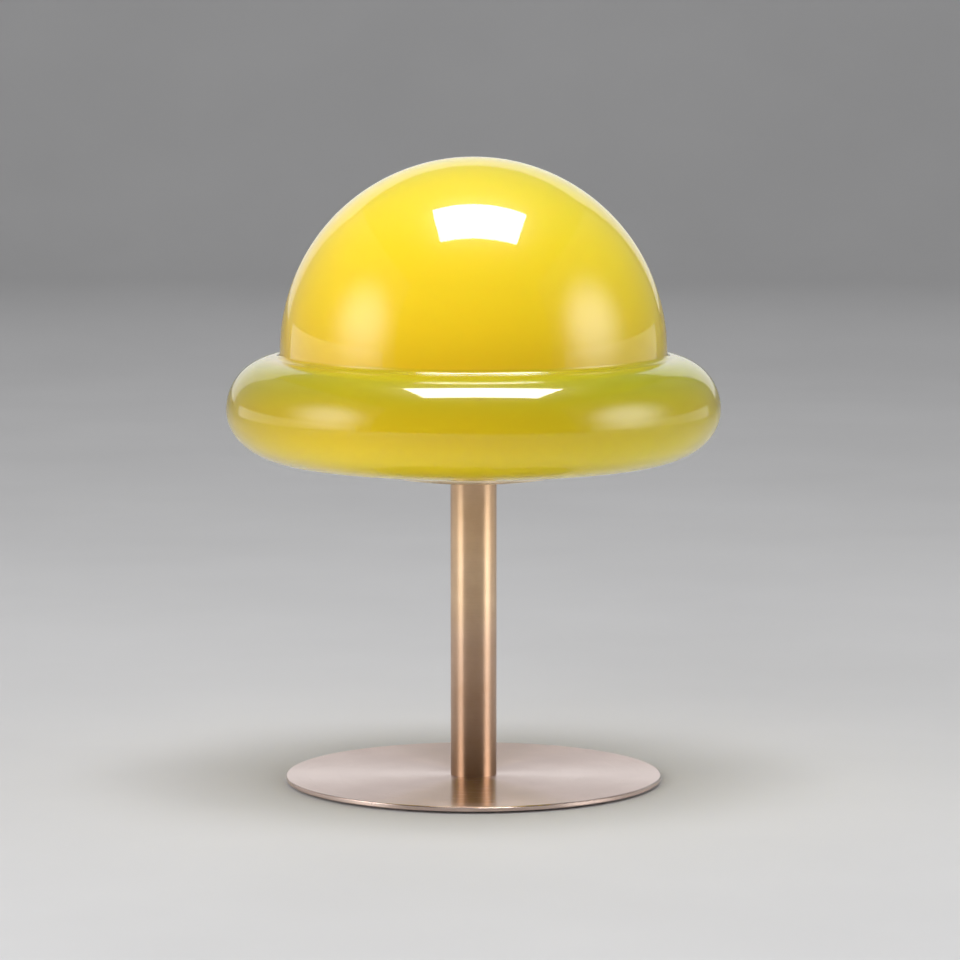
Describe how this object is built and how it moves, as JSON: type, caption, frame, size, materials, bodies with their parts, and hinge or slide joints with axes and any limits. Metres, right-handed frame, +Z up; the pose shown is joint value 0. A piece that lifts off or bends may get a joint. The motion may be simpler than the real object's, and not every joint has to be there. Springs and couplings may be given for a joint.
{
  "type": "table lamp",
  "caption": "Mushroom-shaped table lamp with a domed glass shade with a rolled brim on a brass stem and round base, with screw-in bulb.",
  "frame": {"origin": "centre of the base pad's underside, on the table", "axes": "+Z up the stem, +Y towards the cable inlet at the back, +X to the right seen from the front"},
  "size_m": [0.202, 0.202, 0.2565],
  "materials": {
    "base_brass": "brushed antique brass",
    "stem_brass": "brushed antique brass",
    "plain_brass": "machined",
    "nickel": "bright plated",
    "plated_steel": "zinc plated",
    "pad_foam": "fine closed-cell foam",
    "silicone": "translucent",
    "clear_plastic": "clear",
    "holder_plastic": "moulded thermoplastic",
    "black_glass": "moulded insulator",
    "bulb_plastic": "moulded white",
    "opal_plastic": "opal diffuser",
    "circuit_board": "solder mask",
    "amber_glass": "glossy cased glass"
  },
  "bodies": {
    "stand": {"base_pad": "pad_foam", "base_plate": "base_brass", "base_screws": "plated_steel", "cable_bush": "clear_plastic", "centring_cup": "base_brass", "contact_spring": "plated_steel", "e14_shell": "plain_brass", "holder_lock_screw": "plated_steel", "lampholder_cap": "holder_plastic", "lampholder_insert": "holder_plastic", "lampholder_skirt": "holder_plastic", "lock_washer": "plated_steel", "nipple_nut": "plain_brass", "shade_tray": "base_brass", "stem_foot_plug": "plated_steel", "stem_top_plug": "plated_steel", "stem_tube": "stem_brass", "terminal_blocks": "plain_brass", "terminal_screws": "plated_steel", "threaded_nipple": "plated_steel", "tray_gasket": "silicone"},
    "plunger": {"contact_plunger": "plain_brass"},
    "bulb_tip": {"bulb_tip_contact": "nickel"},
    "bulb": {"bulb_diffuser": "opal_plastic", "bulb_housing": "bulb_plastic", "bulb_insulator": "black_glass", "bulb_screw_cap": "nickel", "driver_board": "circuit_board", "led_board": "circuit_board"},
    "shade": {"glass_shade": "amber_glass"}
  },
  "joints": [
    {"name": "shade_lift", "type": "slide", "parent": "stand", "child": "shade", "axis": [0, 0, 1], "range_m": [0, 0.125]},
    {"name": "bulb_rise", "type": "slide", "parent": "stand", "child": "bulb_tip", "axis": [0, 0, 1], "range_m": [0, 0.0113]},
    {"name": "bulb_turn", "type": "hinge", "parent": "bulb_tip", "child": "bulb", "pos_m": [0, 0, 0.166], "axis": [0, 0, 1], "range_deg": [0, 1440]},
    {"name": "contact_press", "type": "slide", "parent": "stand", "child": "plunger", "axis": [0, 0, -1], "range_m": [0, 0.001], "stiffness_N_per_m": 300, "deforming": ["contact_spring"]}
  ],
  "couplings": [
    {"joint": "bulb_rise", "follows": "bulb_turn", "m_per_rad": 0.00044882}
  ]
}
